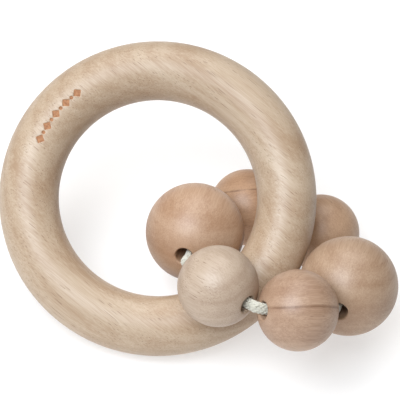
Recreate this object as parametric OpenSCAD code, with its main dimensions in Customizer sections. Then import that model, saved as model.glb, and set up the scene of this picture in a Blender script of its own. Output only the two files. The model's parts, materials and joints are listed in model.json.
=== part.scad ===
// Wooden baby rattle: a turned grip ring with a loop of round beads threaded on a cotton
// cord that passes round the tube of the ring. The rattle lies at rest on the plane z = 0:
// the ring leans on the two back beads of the loop. All sizes are in millimetres.

/* [Grip ring] */
// Diameter of the circle that the ring's round tube follows
ring_centre_d = 65; // [64.8:0.1:66]
// Diameter of the ring's round tube
ring_tube_d = 15; // [12:0.1:15.2]

/* [Beads] */
// Diameter of the two large beads
large_bead_d = 25; // [22:0.1:25.2]
// Diameter of the four small beads
small_bead_d = 20; // [17:0.1:20.2]
// Diameter of the hole through each bead
bore_d = 4.4; // [4.2:0.1:5]
// Width and depth of the bevel at each end of a bead's hole
bore_bevel = 0.5; // [0.3:0.1:0.6]

/* [Cord] */
// Diameter of the braided cord
cord_d = 3.2; // [2.4:0.1:3.4]
// Radius of the cord's bends at the mouths of the holes
cord_bend_r = 4.5; // [3.5:0.1:4.6]
// Diameter of the knot that joins the cord's ends inside the inner large bead
knot_d = 6; // [5:0.1:6.2]
// Diameter of the wide pocket that the knot is pushed into
pocket_d = 7; // [6.6:0.1:8]
// How far the pocket goes past the middle of the bead
pocket_past_middle = 3.4; // [3.3:0.1:5]

/* [Bead loop] */
// Distance of the inner large bead from the middle of the loop
inner_reach = 20.7; // [20.6:0.1:21.4]
// Distance of the outer large bead from the middle of the loop
outer_reach = 20.6; // [20.5:0.1:21.4]
// Distance of the front pair of small beads from the line between the large beads
front_reach = 22.4; // [22.2:0.1:23]
// How far the front pair sits towards the outer large bead
front_shift = 2.7; // [2.2:0.1:3.2]
// Slope of the front pair, whose outer bead is nearer the line between the large beads
front_slope = 5.65; // [4:0.05:7]
// Gap between the two front beads
front_gap = 0.3; // [0.1:0.1:0.6]
// Distance of the back pair of small beads from the line between the large beads
back_reach = 23.7; // [23.3:0.1:24.5]
// How far the back pair sits towards the inner large bead
back_shift = 3; // [2.5:0.1:3.5]
// Gap between the two back beads
back_gap = 0.4; // [0.1:0.1:0.6]
// Turn of the inner large bead's hole, in the loop's plane, from its neighbours' line
inner_turn = 1.9; // [0:0.1:3]
// Tip of the inner large bead's hole out of the loop's plane
inner_tip = 6.3; // [4:0.1:7]
// How far the cord lies to the loop's inner side of the inner large bead's hole
inner_cord_shift = 0.4; // [0:0.1:0.4]
// Turn of the front inner bead's hole, in the loop's plane, from its neighbours' line
front_inner_turn = -9; // [-10:0.1:-6]
// Turn of the outer large bead's hole, in the loop's plane, from its neighbours' line
outer_turn = 3.3; // [1:0.1:4]
// Tip of the outer large bead's hole out of the loop's plane
outer_tip = -6.6; // [-6.8:0.1:-4]
// Where the loop hangs on the ring: angle round the ring from +X
loop_angle = -19.7; // [-180:0.1:180]
// How far the middle of the loop is below the middle plane of the ring
loop_drop = 0.9; // [0.7:0.1:1.1]
// Turn of the loop's plane away from the ring's radius
loop_yaw = 8; // [7.8:0.1:8.2]
// Rise of the loop's outer end over its inner end
loop_rise = 8; // [7.8:0.1:8.4]
// Lean of the loop's plane until its front inner bead meets the ring
loop_lean = 33.9; // [0:0.1:33.9]

/* [Rest pose] */
// Angle between the ring's plane and the surface that the rattle lies on
ring_tilt = 34.6; // [30:0.1:40]

/* [Hidden] */

$fn = 96;
past = 0.2;
knot_gap = 0.15;
// The cord is a little thinner in its bends, which run this many degrees into the sides.
bend_thinning = 0.05;
bend_overlap = 3;
ring_centre_r = ring_centre_d / 2;
ring_tube_r = ring_tube_d / 2;
cord_r = cord_d / 2;

// Half the distance between the middles of each pair's beads, and the middle of each pair.
front_half = (small_bead_d + front_gap) / 2;
back_half = (small_bead_d + back_gap) / 2;
front_middle = [front_shift, front_reach];
back_middle = [-back_shift, -back_reach];
front_line = [cos(front_slope), -sin(front_slope)];

// Where the beads are in the loop's plane, in the order in which the cord passes through
// them: x runs across the loop from the inner large bead to the outer one.
bead_at = [[-inner_reach, 0],
           front_middle - front_half * front_line,
           front_middle + front_half * front_line,
           [outer_reach, 0],
           back_middle + [back_half, 0],
           back_middle - [back_half, 0]];
bead_r = [large_bead_d, small_bead_d, small_bead_d,
          large_bead_d, small_bead_d, small_bead_d] / 2;
bead_count = len(bead_at);

ring_colour = [0.84, 0.75, 0.64];
pale_bead_colour = [0.82, 0.74, 0.64];
tan_bead_colour = [0.80, 0.67, 0.55];
cord_colour = [0.87, 0.85, 0.79];

hole_turn = [inner_turn, front_inner_turn, 0, outer_turn, 0, 0];
hole_tip = [inner_tip, 0, 0, outer_tip, 0, 0];
cord_shift = [inner_cord_shift, 0, 0, 0, 0, 0];

// A bead's hole starts from the direction of the line that joins the bead's two neighbours.
// It turns from there in the loop's plane, and tips out of that plane.
function after(i, count) = (i + 1) % count;
function before(i, count) = (i + count - 1) % count;
function heading(step) = atan2(step.y, step.x);
function neighbours_line(i) = bead_at[after(i, bead_count)] - bead_at[before(i, bead_count)];
function hole_heading(i) = heading(neighbours_line(i)) + hole_turn[i];
function hole_way(i) = let (a = hole_heading(i), t = hole_tip[i])
    [cos(a) * cos(t), sin(a) * cos(t), sin(t)];

// The cord is a closed polygon with round corners. It has a corner at each mouth of each
// hole, so it runs straight through each bead and straight from one bead to the next.
function inwards(i) = let (a = hole_heading(i)) [sin(a), -cos(a), 0];
function mouth(i) = sqrt(pow(bead_r[i], 2) - pow(bore_d / 2, 2));
function cord_middle(i) = [bead_at[i].x, bead_at[i].y, 0] + cord_shift[i] * inwards(i);
cord_corner = [for (i = [0:bead_count - 1], side = [-1, 1])
    cord_middle(i) + side * mouth(i) * hole_way(i)];
corner_count = len(cord_corner);

function unit(v) = v / norm(v);
function side_step(j) = cord_corner[after(j, corner_count)] - cord_corner[j];
function side_way(j) = unit(side_step(j));
function way_in(j) = side_way(before(j, corner_count));
function bend_angle(j) = acos(way_in(j) * side_way(j));
function bend_cut(j) = cord_bend_r * tan(bend_angle(j) / 2);

// Places in the row's frame, for the box that sets the origin.
function turned_x(p, a) = [p.x, p.y * cos(a) - p.z * sin(a), p.y * sin(a) + p.z * cos(a)];
function turned_y(p, a) = [p.x * cos(a) + p.z * sin(a), p.y, p.z * cos(a) - p.x * sin(a)];
function turned_z(p, a) = [p.x * cos(a) - p.y * sin(a), p.x * sin(a) + p.y * cos(a), p.z];
function leant(at) = turned_x([at.x, 0, at.y], loop_lean);
function on_ring(at) = turned_z(turned_y(leant(at), -loop_rise), loop_yaw)
    + [ring_centre_r, 0, -loop_drop];
function tilted(at) = turned_x(turned_z(on_ring(at), loop_angle), ring_tilt);

ring_reach_x = ring_centre_r + ring_tube_r;
ring_reach_y = ring_centre_r * cos(ring_tilt) + ring_tube_r;
ring_height = ring_centre_r * sin(ring_tilt) + ring_tube_r;
low_x = min(-ring_reach_x, min([for (i = [0:bead_count - 1]) tilted(bead_at[i]).x - bead_r[i]]));
high_x = max(ring_reach_x, max([for (i = [0:bead_count - 1]) tilted(bead_at[i]).x + bead_r[i]]));
low_y = min(-ring_reach_y, min([for (i = [0:bead_count - 1]) tilted(bead_at[i]).y - bead_r[i]]));
high_y = max(ring_reach_y, max([for (i = [0:bead_count - 1]) tilted(bead_at[i]).y + bead_r[i]]));

// Carries the ring's own frame to where the ring leans at rest.
module at_rest() {
    translate([-(low_x + high_x) / 2, -(low_y + high_y) / 2, ring_height])
        rotate([ring_tilt, 0, 0])
            children();
}

// Carries the flat loop to its place on the ring: x runs outwards across the loop.
module on_the_ring() {
    at_rest()
        rotate([0, 0, loop_angle])
            translate([ring_centre_r, 0, -loop_drop])
                rotate([0, 0, loop_yaw])
                    rotate([0, -loop_rise, 0])
                        rotate([loop_lean + 90, 0, 0])
                            children();
}

// Puts the middle of a bead at its place in the loop, with its hole along z.
module along_hole(i) {
    translate([bead_at[i].x, bead_at[i].y, 0])
        rotate([0, 90 - hole_tip[i], hole_heading(i)])
            children();
}

module bevel(r, sphere_r) {
    mouth = sqrt(pow(sphere_r, 2) - pow(r + bore_bevel, 2));
    translate([0, 0, mouth - bore_bevel])
        cylinder(h = bore_bevel + past, r1 = r, r2 = r + bore_bevel + past);
}

module bored_ball(r) {
    difference() {
        sphere(r = r);
        cylinder(h = 2 * (r + past), d = bore_d, center = true);
        bevel(bore_d / 2, r);
        mirror([0, 0, 1]) bevel(bore_d / 2, r);
    }
}

// The wide pocket opens at the back end of the hole and ends past the knot.
module knot_pocket(r) {
    translate([0, 0, -r - past])
        cylinder(h = r + past + pocket_past_middle, d = pocket_d);
    mirror([0, 0, 1]) bevel(pocket_d / 2, r);
}

module bead(i, tone) {
    color(tone) on_the_ring() along_hole(i) bored_ball(bead_r[i]);
}

module grip_ring() {
    color(ring_colour) at_rest()
        rotate_extrude()
            translate([ring_centre_r, 0])
                circle(r = ring_tube_r);
}

module cord_side(j) {
    way = side_way(j);
    length = norm(side_step(j)) - bend_cut(j) - bend_cut(after(j, corner_count));
    translate(cord_corner[j] + bend_cut(j) * way)
        rotate([0, acos(way.z), heading(way)])
            cylinder(h = length, r = cord_r);
}

// A bend turns about its own axle, which stands on the plane of the two sides that it joins.
module cord_bend(j) {
    way = way_in(j);
    axle = unit(cross(way, side_way(j)));
    spoke = cross(way, axle);
    middle = cord_corner[j] - bend_cut(j) * way - cord_bend_r * spoke;
    multmatrix([[spoke.x, way.x, axle.x, middle.x],
                [spoke.y, way.y, axle.y, middle.y],
                [spoke.z, way.z, axle.z, middle.z]])
        rotate([0, 0, -bend_overlap])
            rotate_extrude(angle = bend_angle(j) + 2 * bend_overlap)
                translate([cord_bend_r, 0])
                    circle(r = cord_r - bend_thinning);
}

module bead_cord() {
    color(cord_colour) on_the_ring()
        difference() {
            for (j = [0:corner_count - 1]) {
                cord_side(j);
                cord_bend(j);
            }
            along_hole(0) sphere(d = knot_d + 2 * knot_gap);
        }
}

module cord_knot() {
    color(cord_colour) on_the_ring() along_hole(0) sphere(d = knot_d);
}

module large_bead_inner() {
    color(tan_bead_colour) on_the_ring() along_hole(0)
        difference() {
            bored_ball(bead_r[0]);
            knot_pocket(bead_r[0]);
        }
}

module small_bead_front_inner() {
    bead(1, pale_bead_colour);
}

module small_bead_front_outer() {
    bead(2, tan_bead_colour);
}

module large_bead_outer() {
    bead(3, tan_bead_colour);
}

module small_bead_back_outer() {
    bead(4, tan_bead_colour);
}

module small_bead_back_inner() {
    bead(5, tan_bead_colour);
}

grip_ring();
bead_cord();
cord_knot();
large_bead_inner();
large_bead_outer();
small_bead_front_inner();
small_bead_front_outer();
small_bead_back_outer();
small_bead_back_inner();
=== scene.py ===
import json
import math

import bpy
import numpy as np
from mathutils import Matrix, Vector, noise


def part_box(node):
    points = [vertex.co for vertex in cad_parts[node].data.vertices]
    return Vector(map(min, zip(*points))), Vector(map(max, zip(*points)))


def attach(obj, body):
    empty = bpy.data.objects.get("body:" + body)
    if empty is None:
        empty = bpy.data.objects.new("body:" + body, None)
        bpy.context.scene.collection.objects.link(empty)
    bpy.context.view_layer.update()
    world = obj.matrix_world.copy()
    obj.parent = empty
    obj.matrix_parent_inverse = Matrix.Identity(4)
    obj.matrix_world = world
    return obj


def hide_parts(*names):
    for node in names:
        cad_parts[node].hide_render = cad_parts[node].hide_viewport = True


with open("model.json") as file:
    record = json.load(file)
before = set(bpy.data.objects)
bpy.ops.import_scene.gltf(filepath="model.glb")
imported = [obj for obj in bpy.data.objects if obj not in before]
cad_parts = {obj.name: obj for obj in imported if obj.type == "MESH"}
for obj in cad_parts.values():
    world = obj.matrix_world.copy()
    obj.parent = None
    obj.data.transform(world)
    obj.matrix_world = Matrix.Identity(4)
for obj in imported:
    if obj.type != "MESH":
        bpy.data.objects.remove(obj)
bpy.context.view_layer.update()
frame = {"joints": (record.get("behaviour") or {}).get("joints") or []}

MM = 0.001
JOINTS = {joint["name"]: joint for joint in frame["joints"]}

# The ring: the circle that its tube follows, the tube, and the direction of the wood's grain
# in the ring's plane, from +X.
RING_R = 32.5
TUBE_R = 7.5
RING_GRAIN_ANGLE = -31

# The row of burnt diamonds and dots on the ring's top. The soft edge is as wide each way.
BURN_ANGLE = 147.4
BURN_DEPTH = 0.18
BURN_PITCH = 1.87
BURN_COUNT = 9
BURN_EDGE = 0.12
BURN_MESH_STEP = 0.13
DIAMOND_R = 1.2
DOT_R = 0.45

# The beads, in the order in which the cord passes through them.
BEADS = ["large_bead_inner", "small_bead_front_inner", "small_bead_front_outer",
         "large_bead_outer", "small_bead_back_outer", "small_bead_back_inner"]
BORE_R = 2.2
MOUTH_ROUND = 0.45
CHIP_SHARE = 0.035
BEAD_STEPS = 144
POCKET_R = 3.5
POCKET_PAST_MIDDLE = 3.4

# The cord: a round braid of strands that run each way, pressed flat to this share of its
# thickness in the holes. Its ends stop short of the knot in the inner large bead.
CORD_R = 1.58
CORD_BEND_R = 4.5
CORD_SHIFT = 0.4
FLAT_CORD = 0.62
STRANDS_EACH_WAY = 10
STRAND_WIDTH = 0.74
STRAND_THICKNESS = 0.42
STRAND_WAVE = 0.2
BRAID_PITCH = 11.5
RINGS_PER_PITCH = 40
STRAND_SIDES = 6
KNOT_R = 3
KNOT_GAP = 0.15
KNOT_STRAND_R = 0.95
BEND_STEPS = 12

# The camera: degrees, metres, and the lens in millimetres.
CAMERA_TARGET = Vector((-0.99, 10.07, 20.0)) * MM
CAMERA_DISTANCE = 0.6136
CAMERA_AZIMUTH = 0.08
CAMERA_ELEVATION = 47.49
CAMERA_ROLL = 8.67
CAMERA_LENS = 215.7


# ---------------------------------------------------------------- meshes

def add_mesh(name, points, faces, place=None):
    """A smooth mesh object from points in millimetres, given in the frame that place sets.

    The mesh itself is stored in the row's frame, in metres, as the CAD meshes are.
    """
    mesh = bpy.data.meshes.new(name)
    mesh.from_pydata([tuple(p) for p in np.asarray(points) * MM], [], faces)
    if place is not None:
        mesh.transform(place)
    mesh.validate()
    mesh.shade_smooth()
    piece = bpy.data.objects.new(name, mesh)
    bpy.context.scene.collection.objects.link(piece)
    return piece


def grid_faces(rows, columns, close_rows=True):
    """Quads over a grid of points whose columns, and mostly whose rows, close on themselves."""
    faces = []
    for i in range(rows if close_rows else rows - 1):
        for j in range(columns):
            a, b = i * columns, (i + 1) % rows * columns
            k = (j + 1) % columns
            faces.append((a + j, b + j, b + k, a + k))
    return faces


def axes_matrix(x, y, z, centre):
    """The matrix of a frame with these axes and this centre."""
    matrix = Matrix((x, y, z)).transposed().to_4x4()
    matrix.translation = centre
    return matrix


def frame_along(z, towards, centre):
    """A frame whose z is the given axis and whose x points as near as it can to towards."""
    z = z.normalized()
    x = (towards - towards.dot(z) * z).normalized()
    return axes_matrix(x, z.cross(x), z, centre)


def add_values(mesh, name, values):
    """Stores one number per point for the material to read."""
    attribute = mesh.attributes.new(name, "FLOAT", "POINT")
    attribute.data.foreach_set("value", np.asarray(values, np.float32))


def smooth_step(low, high, value):
    t = np.clip((value - low) / (high - low), 0, 1)
    return t * t * (3 - 2 * t)


def sweep(centre, across, outward, half_width, half_height, sides):
    """Points of an oval tube about a line: one ring of points for each point of the line."""
    turns = 2 * math.pi * np.arange(sides) / sides
    ring = (np.cos(turns)[None, :, None] * across[:, None] * half_width
            + np.sin(turns)[None, :, None] * outward[:, None] * half_height)
    return (centre[:, None] + ring).reshape(-1, 3)


def unit(vectors):
    return vectors / np.linalg.norm(vectors, axis=1)[:, None]


# ---------------------------------------------------------------- the ring

def spread_angles(coarse, fine, middle, half_width):
    """Angles round a circle, in radians: coarse steps, and fine steps near the middle."""
    near = np.arange(middle - half_width, middle + half_width, fine)
    rest = 2 * math.pi - (near[-1] - near[0])
    far = near[-1] + np.linspace(0, rest, max(3, round(rest / coarse)) + 1)[1:-1]
    return np.concatenate([near, far])


def burn_amount(along, across):
    """How deeply each place is burnt, from 0 to 1: alternate diamonds and dots in a row."""
    amount = np.zeros(np.broadcast(along, across).shape)
    for k in range(BURN_COUNT):
        place = (k - (BURN_COUNT - 1) / 2) * BURN_PITCH
        if k % 2 == 0:
            outside = np.abs(along - place) + np.abs(across) - DIAMOND_R
        else:
            outside = np.hypot(along - place, across) - DOT_R
        amount = np.maximum(amount, 1 - smooth_step(-BURN_EDGE, BURN_EDGE, outside))
    return amount


def ring_place():
    """The ring's own frame: z runs along the grain, and y along the ring's axis."""
    turn = JOINTS["ring_turn"]
    axis = Vector(turn["axis"])
    grain = Matrix.Rotation(math.radians(RING_GRAIN_ANGLE), 3, axis) @ Vector((1, 0, 0))
    return axes_matrix(axis.cross(grain), axis, grain, Vector(turn["pos_m"]))


def make_ring(place):
    """The grip ring, with the row of burnt marks pressed into its top."""
    burn_at = math.radians(BURN_ANGLE - RING_GRAIN_ANGLE)
    burn_half = (BURN_COUNT + 1) / 2 * BURN_PITCH / RING_R
    round_ring = spread_angles(math.radians(1.5), BURN_MESH_STEP / RING_R, burn_at, burn_half)
    round_tube = spread_angles(math.radians(5), BURN_MESH_STEP / TUBE_R, math.pi / 2,
                               1.7 / TUBE_R)
    a, b = np.meshgrid(round_ring, round_tube, indexing="ij")
    burnt = burn_amount((a - burn_at) * RING_R, (b - math.pi / 2) * TUBE_R)
    tube = TUBE_R - BURN_DEPTH * burnt
    reach = RING_R + tube * np.cos(b)
    points = np.stack([-reach * np.sin(a), tube * np.sin(b), reach * np.cos(a)], -1)
    ring = add_mesh("wooden_ring", points.reshape(-1, 3),
                    grid_faces(len(round_ring), len(round_tube)), place)
    add_values(ring.data, "burn", burnt.ravel())
    return ring


# ---------------------------------------------------------------- the beads

def arc(centre, radius, start, end, count):
    """Points on an arc in the (r, z) plane, with angles in degrees."""
    angles = np.radians(np.linspace(start, end, count))
    return [(centre[0] + radius * math.cos(t), centre[1] + radius * math.sin(t)) for t in angles]


def rounded_mouth(ball_r, hole_r, side):
    """Profile points of the soft edge where a hole of hole_r meets the ball, from the ball in."""
    centre_r = hole_r + MOUTH_ROUND
    centre_z = math.sqrt((ball_r - MOUTH_ROUND) ** 2 - centre_r ** 2)
    meet = math.degrees(math.atan2(centre_z, centre_r))
    return [(r, side * z) for r, z in arc((centre_r, centre_z), MOUTH_ROUND, meet, 180, 7)]


def bead_profile(ball_r, back_hole_r):
    """The closed (r, z) outline of a bead: down the ball, and up the inside of the hole."""
    front = rounded_mouth(ball_r, BORE_R, 1)
    back = rounded_mouth(ball_r, back_hole_r, -1)
    high = math.degrees(math.atan2(front[0][1], front[0][0]))
    low = math.degrees(math.atan2(back[0][1], back[0][0]))
    ball = arc((0, 0), ball_r, high, low, 64)[1:-1]
    if back_hole_r > BORE_R:
        wall = [(back_hole_r, z) for z in np.linspace(back[-1][1], POCKET_PAST_MIDDLE, 12)[1:]]
        wall += [((back_hole_r + BORE_R) / 2, POCKET_PAST_MIDDLE)]
        wall += [(BORE_R, z) for z in np.linspace(POCKET_PAST_MIDDLE, front[-1][1], 8)[:-1]]
    else:
        wall = [(BORE_R, z) for z in np.linspace(back[-1][1], front[-1][1], 14)[1:-1]]
    return ball + back + wall + front[::-1]


def ball_radius(node):
    low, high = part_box(node)
    return max(high - low) / 2 / MM


def bead_place(node):
    """A bead's own frame: z runs along its hole, and along the grain."""
    spin = JOINTS[node + "_spin"]
    return frame_along(Vector(spin["axis"]), Vector((0, 0, 1)), Vector(spin["pos_m"]))


def make_bead(node, place, seed):
    """One turned bead, drilled along its grain."""
    ball_r = ball_radius(node)
    pocketed = node == "large_bead_inner"
    profile = bead_profile(ball_r, POCKET_R if pocketed else BORE_R)
    points = []
    for r, z in profile:
        # The edge of a drilled hole is a little uneven.
        near_mouth = math.exp(-((r - BORE_R - 0.3) / 0.6) ** 2) * (abs(z) > ball_r / 2)
        for k in range(BEAD_STEPS):
            angle = 2 * math.pi * k / BEAD_STEPS
            x, y = r * math.cos(angle), r * math.sin(angle)
            chip = noise.noise(Vector((x, y, z)) * 0.9 + Vector((seed * 7.3, 0, 0)))
            inset = 1 + CHIP_SHARE * near_mouth * chip
            points.append((x * inset, y * inset, z))
    return add_mesh("wooden_" + node, points, grid_faces(len(profile), BEAD_STEPS), place)


# ---------------------------------------------------------------- the cord

def mouth_points():
    """Where the cord goes into and comes out of each bead in turn, in metres."""
    points = []
    middle = sum((bead_place(node).translation for node in BEADS), Vector()) / len(BEADS)
    for node in BEADS:
        place = bead_place(node)
        centre, hole = place.translation, place.col[2].to_3d()
        reach = math.sqrt(ball_radius(node) ** 2 - BORE_R ** 2) * MM
        if node == "large_bead_inner":
            inward = middle - centre
            inward -= inward.dot(hole) * hole
            centre = centre + inward.normalized() * CORD_SHIFT * MM
        points += [centre - hole * reach, centre + hole * reach]
    return points


def cord_route():
    """Points along the cord's middle line, in metres, from knot to knot.

    The cord runs straight through each bead and straight from mouth to mouth, with a round
    bend at each mouth.
    """
    corners = mouth_points()
    count = len(corners)
    ways = [(corners[(j + 1) % count] - corners[j]).normalized() for j in range(count)]
    line = []
    for j, corner in enumerate(corners):
        before, after = ways[j - 1], ways[j]
        turn = before.angle(after)
        cut = CORD_BEND_R * MM * math.tan(turn / 2)
        axle = before.cross(after).normalized()
        spoke = before.cross(axle) * CORD_BEND_R * MM
        middle = corner - before * cut - spoke
        line += [middle + Matrix.Rotation(turn * k / BEND_STEPS, 3, axle) @ spoke
                 for k in range(BEND_STEPS + 1)]
    # The loop starts and ends at the knot, between the inner large bead's two mouths.
    first_bend = BEND_STEPS + 1
    knot_at = (corners[0] + corners[1]) / 2
    gap = ways[0] * (KNOT_R + KNOT_GAP) * MM
    return [knot_at + gap] + line[first_bend:] + line[:first_bend] + [knot_at - gap]


def even_steps(points, step):
    """Points at equal steps along a polyline, in mm, its direction and its length at each."""
    line = np.array([tuple(p) for p in points]) / MM
    lengths = np.concatenate([[0], np.cumsum(np.linalg.norm(np.diff(line, axis=0), axis=1))])
    places = np.linspace(0, lengths[-1], round(lengths[-1] / step) + 1)
    even = np.stack([np.interp(places, lengths, line[:, k]) for k in range(3)], -1)
    along = np.gradient(even, axis=0)
    return even, unit(along), places


def make_strand(route, side, up, places, index, way):
    """One strand of the braid, over two and under two of those that cross it."""
    middle_r = CORD_R - STRAND_WAVE - STRAND_THICKNESS / 2
    swing = 2 * math.pi * places / BRAID_PITCH
    angle = 2 * math.pi * index / STRANDS_EACH_WAY + way * swing
    crossing = STRANDS_EACH_WAY * swing / math.pi
    phase = 2 * index + way * crossing - (0.5 if way > 0 else 2.5)
    radius = middle_r + STRAND_WAVE * np.cos(math.pi / 2 * phase)
    out = np.cos(angle)[:, None] * side + np.sin(angle)[:, None] * up
    centre = route + radius[:, None] * out
    heading = unit(np.gradient(centre, axis=0))
    across = unit(np.cross(heading, out))
    outward = np.cross(across, heading)
    return sweep(centre, across, outward, STRAND_WIDTH / 2, STRAND_THICKNESS / 2, STRAND_SIDES)


def tube_faces(rings, sides, first=0):
    """Quads along a tube, with a cap at each end."""
    faces = [tuple(first + i for i in face)
             for face in grid_faces(rings, sides, close_rows=False)]
    faces.append(tuple(first + j for j in range(sides)))
    faces.append(tuple(first + (rings - 1) * sides + sides - 1 - j for j in range(sides)))
    return faces


def loop_normal():
    """The direction that stands on the plane of the bead loop."""
    centres = [bead_place(node).translation for node in BEADS]
    normal = (centres[1] - centres[0]).cross(centres[2] - centres[0])
    return np.array(normal.normalized())


def press_flat(strand, route, up):
    """Flattens the cord against the loop's inner side where it lies in a bead's hole."""
    centres = np.array([tuple(bead_place(node).translation) for node in BEADS]) / MM
    radii = np.array([ball_radius(node) for node in BEADS])
    outside = np.linalg.norm(route[:, None] - centres[None], axis=2) - radii[None]
    free = smooth_step(0, 3.2, outside.min(axis=1))
    keep = FLAT_CORD + (1 - FLAT_CORD) * free
    inward = up * np.sign(np.sum((centres.mean(axis=0) - route) * up, axis=1))[:, None]
    points = strand.reshape(len(route), -1, 3)
    height = np.sum((points - route[:, None]) * inward[:, None], axis=2)
    move = (1 - keep)[:, None] * (CORD_R - height)
    return (points + move[..., None] * inward[:, None]).reshape(-1, 3)


def make_cord():
    """The braided cord, through every bead and round the ring's tube."""
    route, along, places = even_steps(cord_route(), BRAID_PITCH / RINGS_PER_PITCH)
    up = unit(np.cross(along, loop_normal()))
    side = np.cross(up, along)
    strands, faces = [], []
    for way in (1, -1):
        for index in range(STRANDS_EACH_WAY):
            first = len(strands) * len(route) * STRAND_SIDES
            strand = make_strand(route, side, up, places, index, way)
            strands.append(press_flat(strand, route, up))
            faces += tube_faces(len(route), STRAND_SIDES, first)
    return add_mesh("braided_cord", np.concatenate(strands), faces)


def make_knot(place):
    """The knot that joins the cord's ends: a trefoil drawn tight inside the CAD's ball."""
    rings, sides = 120, 12
    t = np.linspace(0, 2 * math.pi, rings, endpoint=False)
    line = np.stack([np.sin(t) + 2 * np.sin(2 * t), np.cos(t) - 2 * np.cos(2 * t),
                     -1.6 * np.sin(3 * t)], -1) * (KNOT_R - KNOT_STRAND_R) / 3.2
    heading = unit(np.roll(line, -1, 0) - np.roll(line, 1, 0))
    across = unit(np.cross(heading, line))
    outward = np.cross(across, heading)
    tube = sweep(line, across, outward, KNOT_STRAND_R, KNOT_STRAND_R, sides)
    return add_mesh("cord_stopper_knot", tube, grid_faces(rings, sides), place)


# ---------------------------------------------------------------- materials

class Nodes:
    """Builds a material's nodes with short calls."""

    def __init__(self, name):
        self.material = bpy.data.materials.new(name)
        self.material.use_nodes = True
        self.tree = self.material.node_tree
        self.shader = self.tree.nodes["Principled BSDF"]

    def add(self, kind, inputs=(), **settings):
        node = self.tree.nodes.new("ShaderNode" + kind)
        for name, value in settings.items():
            setattr(node, name, value)
        for socket, value in dict(inputs).items():
            self.put(node.inputs[socket], value)
        return node

    def put(self, socket, value):
        if isinstance(value, bpy.types.NodeSocket):
            self.tree.links.new(value, socket)
        else:
            socket.default_value = value

    def math(self, operation, a, b=0.0, c=0.0, clamp=False):
        node = self.add("Math", {0: a, 1: b, 2: c}, operation=operation, use_clamp=clamp)
        return node.outputs[0]

    def vector(self, operation, a, b=(0, 0, 0)):
        return self.add("VectorMath", {0: a, 1: b}, operation=operation).outputs[0]

    def stretched(self, place, scale, shift=(0, 0, 0)):
        return self.vector("ADD", self.vector("MULTIPLY", place, scale), shift)

    def noise(self, place, detail=2.0, roughness=0.5):
        node = self.add("TexNoise", {"Vector": place, "Scale": 1.0, "Detail": detail,
                                     "Roughness": roughness})
        return node.outputs["Fac"]

    def ramp(self, value, low, high, start=0.0, end=1.0):
        """A smooth step from start to end as value goes from low to high."""
        node = self.add("MapRange", {"Value": value, "From Min": low, "From Max": high,
                                     "To Min": start, "To Max": end},
                        interpolation_type="SMOOTHSTEP")
        return node.outputs[0]

    def mix(self, amount, a, b):
        node = self.add("Mix", data_type="RGBA", clamp_factor=True)
        self.put(node.inputs[0], amount)
        self.put(node.inputs[6], a)
        self.put(node.inputs[7], b)
        return node.outputs[2]


def rgb(red, green, blue):
    """A linear colour from 0-255 display values."""
    def linear(v):
        v /= 255
        return v / 12.92 if v <= 0.04045 else ((v + 0.055) / 1.055) ** 2.4
    return (linear(red), linear(green), linear(blue), 1)


def wood_coordinates(n, place, seed):
    """Millimetres in the wood's own frame, and the same at a far place of the piece's own.

    Every pattern is read at its own far place, so no two pieces are alike.
    """
    position = n.add("TexCoord").outputs["Object"]
    local = n.add("Mapping", {"Vector": position, "Location": place.translation,
                              "Rotation": place.to_euler(), "Scale": (MM, MM, MM)},
                  vector_type="TEXTURE").outputs[0]
    return local, n.vector("ADD", local, (seed * 17.0, seed * 29.0, seed * 61.0))


def growth_shells(n, local, own, pith, pith_distance):
    """How much further from the tree's middle each place is than the piece's middle is."""
    wander = n.add("TexNoise", {"Vector": n.stretched(own, (0.05, 0.05, 0.012)),
                                "Scale": 1.0, "Detail": 0.0}).outputs["Color"]
    bent = n.vector("ADD", local, n.stretched(wander, (4, 4, 0), (-2, -2, 0)))
    reach = n.add("VectorMath", {0: n.stretched(bent, (1, 1, 0), -pith)},
                  operation="LENGTH").outputs["Value"]
    return n.math("SUBTRACT", reach, pith_distance)


def growth_bands(n, past_middle, spacing, seed):
    """Soft light and dark bands, one shell after another."""
    growth = n.math("MULTIPLY_ADD", past_middle, 1 / spacing, seed * 7.7)
    return n.add("TexNoise", {"W": growth, "Scale": 1.0, "Detail": 2.5, "Roughness": 0.55},
                 noise_dimensions="1D").outputs["Fac"]


def pore_dashes(n, own, pores):
    """1 on a pore and 0 off it: thin dashes along the grain, in drifts.

    Where the grain meets the surface they show as dots.
    """
    drift = n.noise(n.stretched(own, (0.14, 0.14, 0.06), (31, 7, 3)), detail=1)
    cells = n.add("TexVoronoi", {"Vector": n.stretched(own, PORE_CELLS),
                                 "Scale": 1.0, "Randomness": 1.0}, feature="F1").outputs
    random = n.add("SeparateColor", {"Color": cells["Color"]}).outputs
    size = n.math("MULTIPLY_ADD", random[1], 0.18, 0.14)
    dashes = n.ramp(cells["Distance"], size, n.math("MULTIPLY", size, 0.5))
    share = n.math("MULTIPLY", n.ramp(drift, 0.35, 0.55), pores)
    return n.math("MULTIPLY", dashes, n.math("LESS_THAN", random[0], share))


def burn_wood(n, own, colour, rough):
    """Chars the wood where the mesh says that it is burnt."""
    amount = n.add("Attribute", attribute_name="burn").outputs["Fac"]
    scorch = n.noise(n.stretched(own, (2.2, 2.2, 1.2)), detail=3)
    char = n.mix(n.ramp(scorch, 0.3, 0.7), *CHAR_COLOURS)
    return (n.mix(n.ramp(amount, 0.15, 0.7), colour, char),
            n.math("MULTIPLY_ADD", amount, 0.25, rough, clamp=True))


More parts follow.
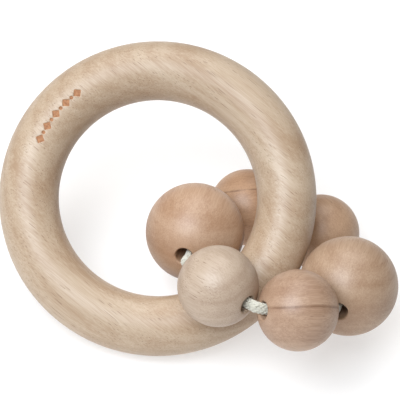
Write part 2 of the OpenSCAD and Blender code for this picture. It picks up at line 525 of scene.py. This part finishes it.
def wood_material(name, place, light, dark, seed, bands=0.25, band_spacing=2.6,
                  pith_way=(0, 0, -1), pith_distance=55, pores=0.3, line_at=None, burnt=False):
    """Sanded, lightly waxed hardwood whose grain runs along z of the frame that place sets.

    light and dark are the colours between which the fibres vary, and bands is how strong the
    growth bands are. The tree's middle lies pith_distance millimetres away, towards pith_way,
    so it sets how the bands curve. line_at is how much further from it than the piece's
    middle one dark line lies.
    """
    n = Nodes(name)
    local, own = wood_coordinates(n, place, seed)
    pith = place.to_3x3().transposed() @ Vector(pith_way)
    pith = Vector((pith.x, pith.y, 0)).normalized() * pith_distance
    past_middle = growth_shells(n, local, own, pith, pith_distance)

    # The tone: growth bands, streaks along the grain from broad to fine, and slow blotches.
    soft = growth_bands(n, past_middle, band_spacing, seed)
    tone = n.math("MULTIPLY_ADD", n.math("SUBTRACT", soft, 0.5), 2.4 * bands, 0.5)
    streaks = {}
    for kind, (stretch, detail, roughness, strength) in STREAKS.items():
        streaks[kind] = n.noise(n.stretched(own, stretch), detail, roughness)
        tone = n.math("MULTIPLY_ADD", n.math("SUBTRACT", streaks[kind], 0.5), strength, tone)
    colour = n.mix(n.ramp(tone, 0.0, 1.0), light, dark)
    if line_at is not None:
        off_line = n.math("ABSOLUTE", n.math("SUBTRACT", past_middle, line_at))
        weight = n.math("MULTIPLY", n.ramp(off_line, 0.4, 0.1),
                        n.ramp(streaks["broad"], 0.2, 0.6))
        colour = n.mix(n.math("MULTIPLY", weight, 0.6), colour, PORE_COLOUR)
    dashes = pore_dashes(n, own, pores)
    colour = n.mix(n.math("MULTIPLY", dashes, 0.65), colour, PORE_COLOUR)

    # End grain drinks more wax, so it is a little darker.
    normal = n.add("TexCoord").outputs["Normal"]
    facing = n.add("VectorMath", {0: normal, 1: place.col[2].to_3d()},
                   operation="DOT_PRODUCT").outputs["Value"]
    end = n.ramp(n.math("ABSOLUTE", facing), 0.8, 1.0)
    colour = n.mix(n.math("MULTIPLY", end, 0.2), colour, dark)

    rough = n.math("MULTIPLY_ADD", dashes, 0.2, 0.38)
    rough = n.math("MULTIPLY_ADD", streaks["fibre"], 0.12, rough)
    if burnt:
        colour, rough = burn_wood(n, own, colour, rough)
    height = n.math("SUBTRACT", n.math("MULTIPLY", streaks["hair"], 0.3), dashes)
    bump = n.add("Bump", {"Strength": 0.3, "Distance": 0.06 * MM, "Height": height})
    n.put(n.shader.inputs["Base Color"], colour)
    n.put(n.shader.inputs["Roughness"], rough)
    n.put(n.shader.inputs["Normal"], bump.outputs["Normal"])
    n.shader.inputs["Specular IOR Level"].default_value = 0.55
    return n.material


def cotton_material(name):
    """Off-white cotton: soft, with fine fibre and a tone that changes at random."""
    n = Nodes(name)
    place = n.vector("MULTIPLY", n.add("TexCoord").outputs["Object"], (1 / MM, 1 / MM, 1 / MM))
    fine = n.noise(n.stretched(place, (7, 7, 7)), detail=4, roughness=0.7)
    slow = n.noise(n.stretched(place, (0.5, 0.5, 0.5)), detail=2)
    tone = n.math("MULTIPLY_ADD", n.math("SUBTRACT", fine, 0.5), 1.2, slow, clamp=True)
    colour = n.mix(tone, rgb(222, 218, 203), rgb(180, 175, 158))
    bump = n.add("Bump", {"Strength": 0.7, "Distance": 0.12 * MM, "Height": fine})
    n.put(n.shader.inputs["Base Color"], colour)
    n.put(n.shader.inputs["Normal"], bump.outputs["Normal"])
    n.shader.inputs["Roughness"].default_value = 0.9
    n.shader.inputs["Sheen Weight"].default_value = 0.35
    n.shader.inputs["Sheen Roughness"].default_value = 0.6
    n.shader.inputs["Specular IOR Level"].default_value = 0.2
    return n.material


def plain_material(name, colour, roughness):
    n = Nodes(name)
    n.shader.inputs["Base Color"].default_value = colour
    n.shader.inputs["Roughness"].default_value = roughness
    n.shader.inputs["Specular IOR Level"].default_value = 0.1
    return n.material


# ---------------------------------------------------------------- the scene

def make_camera():
    azimuth, elevation = math.radians(CAMERA_AZIMUTH), math.radians(CAMERA_ELEVATION)
    back = Vector((math.cos(elevation) * math.sin(azimuth),
                   -math.cos(elevation) * math.cos(azimuth), math.sin(elevation)))
    level = Vector((0, 0, 1)).cross(back).normalized()
    right = Matrix.Rotation(math.radians(CAMERA_ROLL), 3, back) @ level
    data = bpy.data.cameras.new("camera")
    data.lens = CAMERA_LENS
    data.sensor_width = 36
    camera = bpy.data.objects.new("camera", data)
    camera.matrix_world = axes_matrix(right, back.cross(right), back,
                                      CAMERA_TARGET + back * CAMERA_DISTANCE)
    bpy.context.scene.collection.objects.link(camera)
    bpy.context.scene.camera = camera


def make_lamp(name, place, size, power, colour):
    """A soft lamp, size wide and high, that faces the rattle."""
    data = bpy.data.lights.new(name, "AREA")
    data.shape = "RECTANGLE"
    data.size, data.size_y = size
    data.energy = power
    data.color = colour
    lamp = bpy.data.objects.new(name, data)
    level = Vector((0, 0, 1)).cross(Vector(place))
    lamp.matrix_world = frame_along(Vector(place), level, Vector(place))
    bpy.context.scene.collection.objects.link(lamp)


def make_studio():
    """A pale, faintly glowing table, soft lamps and an even, dim world."""
    floor = add_mesh("floor", np.array([(-1, -1, 0), (1, -1, 0), (1, 1, 0), (-1, 1, 0)]) * 3000,
                     [(0, 1, 2, 3)])
    table = plain_material("pale_table", (0.48, 0.465, 0.45, 1), 0.8)
    glow = table.node_tree.nodes["Principled BSDF"].inputs
    glow["Emission Color"].default_value = (1, 1, 1, 1)
    glow["Emission Strength"].default_value = 0.57
    floor.data.materials.append(table)
    for name, settings in LAMPS.items():
        make_lamp(name, *settings)
    world = bpy.data.worlds.new("studio")
    world.use_nodes = True
    background = world.node_tree.nodes["Background"].inputs
    background["Color"].default_value = (1, 1, 1, 1)
    background["Strength"].default_value = 0.06
    bpy.context.scene.world = world
    bpy.context.scene.view_settings.view_transform = "Standard"


def dress(piece, material, body, node):
    """Gives a piece its material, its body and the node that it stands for."""
    piece.data.materials.append(material)
    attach(piece, body)
    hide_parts(node)


# The lamps: where each is, how wide and high, its power in watts and its colour.
WARM = (1, 0.97, 0.94)
LAMPS = {
    "key": ((-0.42, -0.46, 1.02), (0.8, 0.8), 15, (0.91, 1, 1.1)),
    "fill": ((-0.25, -0.72, 0.94), (1.0, 0.9), 3, WARM),
    "back": ((-0.1, 0.55, 1.08), (1.0, 0.8), 8, WARM),
}

# The wood's streaks: cells per millimetre, detail, roughness and strength of each kind.
STREAKS = {
    "broad": ((0.55, 0.55, 0.03), 2, 0.5, 0.5),
    "fibre": ((3, 3, 0.09), 3, 0.65, 1.0),
    "hair": ((7, 7, 0.2), 2, 0.5, 0.7),
    "blotch": ((0.1, 0.1, 0.045), 2, 0.5, 0.5),
}
PORE_CELLS = (3.2, 3.2, 0.09)
PORE_COLOUR = rgb(112, 78, 54)
CHAR_COLOURS = (rgb(180, 126, 84), rgb(148, 97, 60))

# How each wooden piece looks. CAMERA_UP is the picture's upward direction.
CAMERA_UP = (-0.15, 0.73, 0.67)
RING_LOOK = dict(light=rgb(197, 176, 152), dark=rgb(167, 138, 110), band_spacing=4,
                 bands=0.35, pith_distance=80, pores=0.8)
BEAD_LOOKS = {
    "large_bead_inner": dict(light=rgb(190, 158, 131), dark=rgb(160, 121, 91), bands=0.35,
                             band_spacing=5),
    "small_bead_front_inner": dict(light=rgb(194, 173, 152), dark=rgb(166, 141, 119),
                                   bands=0.3, pores=1.0, pith_distance=30),
    "small_bead_front_outer": dict(light=rgb(187, 156, 131), dark=rgb(152, 117, 92),
                                   bands=0.4, band_spacing=3.4, pith_way=CAMERA_UP,
                                   line_at=-0.7),
    "large_bead_outer": dict(light=rgb(185, 157, 131), dark=rgb(153, 119, 92), bands=0.35,
                             band_spacing=6),
    "small_bead_back_outer": dict(light=rgb(190, 157, 128), dark=rgb(160, 125, 97)),
    "small_bead_back_inner": dict(light=rgb(194, 156, 124), dark=rgb(164, 125, 94),
                                  pith_way=CAMERA_UP, line_at=-3.0),
}


def main():
    make_camera()
    make_studio()
    place = ring_place()
    ring_wood = wood_material("ring_wood", place, seed=1, burnt=True, **RING_LOOK)
    dress(make_ring(place), ring_wood, "ring", "grip_ring")
    for seed, node in enumerate(BEADS, 2):
        place = bead_place(node)
        wood = wood_material(node + "_wood", place, seed=seed, **BEAD_LOOKS[node])
        dress(make_bead(node, place, seed), wood, node, node)
    cotton = cotton_material("cotton")
    dress(make_cord(), cotton, "bead_loop", "bead_cord")
    dress(make_knot(bead_place(BEADS[0])), cotton, "knot", "cord_knot")


main()
